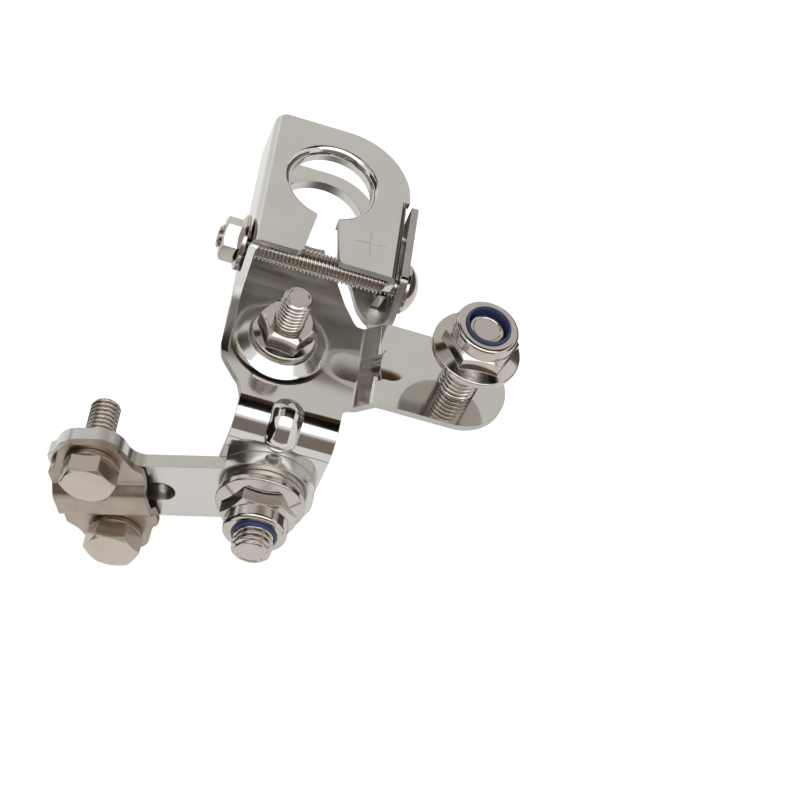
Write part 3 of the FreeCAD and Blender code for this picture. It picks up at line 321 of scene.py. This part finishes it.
def thread_rings(work, place, radius, pitch, start, end):
    """Rings of points along the thread, and each point's depth in its groove from 0 to 1."""
    depth = DEPTH_BY_PITCH * pitch
    count = int((end - start) / pitch * PER_TURN)
    rings = []
    levels = []
    for i in range(count + 1):
        z = start + (end - start) * i / count
        ring = []
        level = []
        for k in range(AROUND):
            angle = 2 * math.pi * k / AROUND
            ridge = abs(2 * ((z / pitch - k / AROUND) % 1.0) - 1)
            cut = min(max((ridge - CREST) / FLANK, 0.0), 1.0) * depth
            level.append(cut / depth)
            cut *= min(1.0, (z - start) / pitch)
            r = min(radius - cut, radius - depth * POINT_DEPTH + max(0.0, end - z))
            ring.append(work.verts.new(place @ Vector((r * math.cos(angle) * MM,
                                                       r * math.sin(angle) * MM, z * MM))))
        rings.append(ring)
        levels.append(level)
    return rings, levels


def close_tip(work, place, back, tip, end):
    """Closes the thread's end with a flat rim and a shallow round recess."""
    for scale, sink in ((TIP_RIM, 0.0), (TIP_FLOOR / TIP_RIM, TIP_SINK)):
        inner = []
        for vert in tip:
            p = back @ vert.co
            inner.append(work.verts.new(place @ Vector((p.x * scale, p.y * scale, (end - sink) * MM))))
        for k in range(AROUND):
            after = (k + 1) % AROUND
            face = work.faces.new((tip[k], tip[after], inner[after], inner[k]))
            face.material_index = THREAD_FACES
        tip = inner
    work.faces.new(tip).material_index = THREAD_FACES


def threaded(node, body, slot, origin, direction, size, start, end):
    """Replaces the CAD node by one whose plain shank is a rolled thread from start to end (mm)."""
    radius, pitch = size
    turn = Vector((0, 0, 1)).rotation_difference(Vector(direction)).to_matrix().to_4x4()
    place = Matrix.Translation(Vector(origin) * MM) @ turn
    back = place.inverted()
    work = bmesh.new()
    work.from_mesh(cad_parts[node].data)
    bmesh.ops.delete(work, geom=shank_faces(work, back, radius, start), context="FACES")
    rings, levels = thread_rings(work, place, radius, pitch, start, end)
    for low, high, level in zip(rings, rings[1:], levels):
        for k in range(AROUND):
            after = (k + 1) % AROUND
            face = work.faces.new((low[k], low[after], high[after], high[k]))
            face.smooth = True
            # Faces deep in a groove take the root material, whose dark tone is painted shade
            in_root = min(level[k], level[after]) >= ROOT_SHARE
            face.material_index = ROOT_FACES if in_root else THREAD_FACES
    close_tip(work, place, back, rings[-1], end)
    mesh = bpy.data.meshes.new(node + "_threaded")
    work.to_mesh(mesh)
    work.free()
    obj = put(node + "_threaded", mesh)
    mesh.materials.clear()
    mesh.materials.append(FINISH.get(node, fastener_steel))
    # On the fasteners' threads the ridges take a lighter tone, which is painted sheen
    mesh.materials.append(bolt_thread if slot == "cable_bolt_steel" else sheen_painted_thread_steel)
    mesh.materials.append(shade_painted_thread_root)
    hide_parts(node)
    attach(obj, body)


# Each thread: node, body, slot, seat, direction, size, and its start and end from the seat (mm)
steel = "fastener_steel"
threaded("small_stud", "clamp", steel, SMALL_STUD, (0, 0, 1), M6, -1.4, 12.8)
threaded("arm_stud", "clamp", steel, ARM_STUD, (0, 0, 1), M8, -1.4, 18.6)
threaded("front_stud", "clamp", steel, (TAB_MIDDLE, TAB_FACE, FRONT_STUD_LEVEL), (0, -1, 0), M8, -1.4, 17.2)
threaded("clamp_bolt", "clamp_bolt", steel, CLAMP_BOLT, (-1, 0, 0), M5, 1.6, 38.74)
along = math.cos(math.radians(BAR_DROOP))
down = math.sin(math.radians(BAR_DROOP))
for side, offset in (("upper", CABLE_BOLT_OFFSET), ("lower", -CABLE_BOLT_OFFSET)):
    x = TAB_MIDDLE - CABLE_BOLT_REACH * along - offset * down
    z = FRONT_STUD_LEVEL - CABLE_BOLT_REACH * down + offset * along
    threaded(side + "_cable_bolt", side + "_cable_bolt", "cable_bolt_steel",
             (x, CABLE_BOLT_SEAT, z), (0, 1, 0), M6, 0.6, 16.0)


# Studio, in metres: the floor and the cards on it lie just under the object, and the panels stand
# round a middle in front of the post's axis
FLOOR_LEVEL = -0.062
CARD_LEVEL = -0.0615
MIDDLE = -0.02
ARCH_STEP = 6
SIDE_STEP = 3
# The floor's glow wherever it is seen, what the camera sees on top of that, and the room's light
FLOOR_GLOW = 0.18
CAMERA_GLOW = 0.27
ROOM_LIGHT = 0.65


def background_rays(tree):
    """One where the camera, a mirror or glass sees the background."""
    path = add(tree, "ShaderNodeLightPath").outputs
    first = add(tree, "ShaderNodeMath", {0: path["Is Camera Ray"], 1: path["Is Glossy Ray"]},
                operation="MAXIMUM")
    both = add(tree, "ShaderNodeMath", {0: first.outputs[0], 1: path["Is Transmission Ray"]},
               operation="MAXIMUM")
    return both.outputs[0]


# Floor: white paper that keeps a soft shadow
def lay_floor():
    bpy.ops.mesh.primitive_plane_add(size=6, location=(0, 0, FLOOR_LEVEL))
    floor = bpy.context.object
    floor.name = "floor"
    paper, tree, shader = material("white paper", {"Base Color": linear("F4F4F2"), "Roughness": 0.9,
                                                   "Specular IOR Level": 0.0})
    camera_ray = add(tree, "ShaderNodeLightPath").outputs["Is Camera Ray"]
    seen = add(tree, "ShaderNodeMath", {0: background_rays(tree), 1: FLOOR_GLOW}, operation="MULTIPLY")
    level = add(tree, "ShaderNodeMath", {0: camera_ray, 1: CAMERA_GLOW, 2: seen.outputs[0]},
                operation="MULTIPLY_ADD")
    glow = add(tree, "ShaderNodeEmission", {"Strength": level.outputs[0]})
    both = add(tree, "ShaderNodeAddShader", {0: shader.outputs[0], 1: glow.outputs[0]})
    tree.links.new(tree.nodes["Material Output"].inputs["Surface"], both.outputs[0])
    floor.data.materials.append(paper)


# World: white where it is seen, plain grey light on the object
def light_room():
    world = bpy.data.worlds.new("studio")
    bpy.context.scene.world = world
    world.use_nodes = True
    tree = world.node_tree
    tree.nodes.clear()
    seen = add(tree, "ShaderNodeBackground", {"Color": linear("FFFFFF"), "Strength": 1.0})
    room = add(tree, "ShaderNodeBackground", {"Color": linear("FFFFFF"), "Strength": ROOM_LIGHT})
    mix = add(tree, "ShaderNodeMixShader", {0: background_rays(tree), 1: room.outputs[0],
                                            2: seen.outputs[0]})
    add(tree, "ShaderNodeOutputWorld", {"Surface": mix.outputs[0]})


# Soft box: in front of the object and above it
def hang_soft_box():
    lamp = bpy.data.lights.new("soft box", "AREA")
    lamp.shape = "RECTANGLE"
    lamp.size = 1.3
    lamp.size_y = 0.42
    lamp.energy = 2.8
    box = put("soft box", lamp)
    box.location = (0.0, -0.413, 0.788)
    box.rotation_euler = (Vector((0, MIDDLE, 0)) - box.location).to_track_quat("-Z", "Y").to_euler()


lay_floor()
light_room()
hang_soft_box()


# Studio panels and cards, which only the metal mirrors
def staged_panel(name, corners, faces, code):
    mesh = bpy.data.meshes.new(name)
    mesh.from_pydata(corners, [], faces)
    obj = put(name, mesh)
    made = bpy.data.materials.new(name + " cloth")
    made.use_nodes = True
    tree = made.node_tree
    tree.nodes.clear()
    glow = add(tree, "ShaderNodeEmission", {"Color": linear(code), "Strength": 1.0})
    add(tree, "ShaderNodeOutputMaterial", {"Surface": glow.outputs[0]})
    mesh.materials.append(made)
    obj.visible_camera = False
    obj.visible_shadow = False
    obj.visible_diffuse = False
    obj.visible_transmission = False
    return obj


def strip_faces(steps):
    """Faces of a strip whose corners go in pairs."""
    return [(2 * i, 2 * i + 1, 2 * i + 3, 2 * i + 2) for i in range(steps)]


def arched_panel(name, first, last, code, left=-0.75, right=0.75, radius=0.9):
    """Strip of an arch over the object, from back horizon 0 over the top 90 to front horizon 180."""
    steps = max(1, round((last - first) / ARCH_STEP))
    corners = []
    for i in range(steps + 1):
        angle = math.radians(first + (last - first) * i / steps)
        for x in (left, right):
            corners.append((x, MIDDLE + radius * math.cos(angle), radius * math.sin(angle)))
    staged_panel(name, corners, strip_faces(steps), code)


def side_panel(name, azimuth, half_turn, bottom, top, code, radius=1.0):
    """Upright curved panel round the object, azimuth from +X over +Y."""
    corners = []
    steps = max(1, round(half_turn / SIDE_STEP))
    for i in range(steps + 1):
        angle = math.radians(azimuth - half_turn + 2 * half_turn * i / steps)
        for z in (bottom, top):
            corners.append((radius * math.cos(angle), MIDDLE + radius * math.sin(angle), z))
    staged_panel(name, corners, strip_faces(steps), code)


def floor_card(name, left, right, front, back, code):
    """Card lying on the floor."""
    corners = [(right, back, CARD_LEVEL), (left, back, CARD_LEVEL),
               (left, front, CARD_LEVEL), (right, front, CARD_LEVEL)]
    return staged_panel(name, corners, [(0, 1, 2, 3)], code)


def fade_card(card, middle, outer, inner):
    """Lets a card fade out from an inner to an outer distance from its middle."""
    tree = card.data.materials[0].node_tree
    place = add(tree, "ShaderNodeTexCoord").outputs["Object"]
    away = add(tree, "ShaderNodeVectorMath", {0: place, 1: middle}, operation="DISTANCE").outputs["Value"]
    clear = add(tree, "ShaderNodeBsdfTransparent")
    mix = add(tree, "ShaderNodeMixShader", {0: reach(tree, [(away, (outer, inner))]),
                                            1: clear.outputs[0],
                                            2: tree.nodes["Emission"].outputs[0]})
    tree.links.new(tree.nodes["Material Output"].inputs["Surface"], mix.outputs[0])


# Painted shadow: a dark card right under the object, which only the metal mirrors, darker where the object
# stands over it
shade = floor_card("painted shadow paper", -0.042, 0.058, -0.085, 0.015, "6E6D6B")
fade_card(shade, (0.008, -0.035, CARD_LEVEL), 0.05, 0.015)

# The arch from the back over the top to the front, with a gap for the soft box
arched_panel("back panel", 0, 57, "E4E2DF")
arched_panel("back panel rim", 57, 59, "8C7B6A")
arched_panel("back panel fringe", 59, 72, "45331F")
arched_panel("ceiling panel", 72, 97, "121214", left=-0.3)
arched_panel("ceiling rim", 97, 102, "4A4541", left=-0.3)
arched_panel("ceiling side", 66, 102, "C4BCB4", right=-0.34)
arched_panel("front rim", 138, 143, "B4ACA4")
arched_panel("front panel", 143, 184, "8A8078")

# Upright panels and flags, and cards on the floor
side_panel("left panel", 166, 19, 0.1, 0.8, "43362B")
side_panel("left front flag", 213, 20, -0.061, 0.06, "1C1A18", radius=0.16)
side_panel("right flag", 25, 37, -0.061, 0.12, "5A524A", radius=0.25)
floor_card("dark strip", -0.3, 0.3, -0.128, -0.121, "151515")
# Painted shade: a dark card on the floor behind the clamp, mirrored in the gap between its flanges
floor_card("painted shade card behind", -0.008, 0.014, 0.045, 0.08, "4A443F")
# Painted shadow: a dark card on the floor in front and to the left, mirrored in the metal
floor_card("painted shadow card", -0.2, -0.056, -0.14, -0.04, "1C1A18")

# Camera: its place (mm) and its three axes
CAMERA_PLACE = (-46.883554, -306.367866, 332.931841)
CAMERA_RIGHT = (0.950075, 0.115145, 0.289999)
CAMERA_DOWN = (0.267109, -0.780534, -0.565172)
CAMERA_AHEAD = (0.161278, 0.614417, -0.772322)
camera = bpy.data.cameras.new("camera")
camera.sensor_width = 36.0
camera.lens = 98.036
camera.clip_start = 0.01
camera.clip_end = 20.0
view = put("camera", camera)
axes = Matrix((Vector(CAMERA_RIGHT), -Vector(CAMERA_DOWN), -Vector(CAMERA_AHEAD))).transposed()
view.matrix_world = Matrix.Translation(Vector(CAMERA_PLACE) * MM) @ axes.to_4x4()
bpy.context.scene.camera = view
bpy.context.scene.view_settings.view_transform = "Standard"
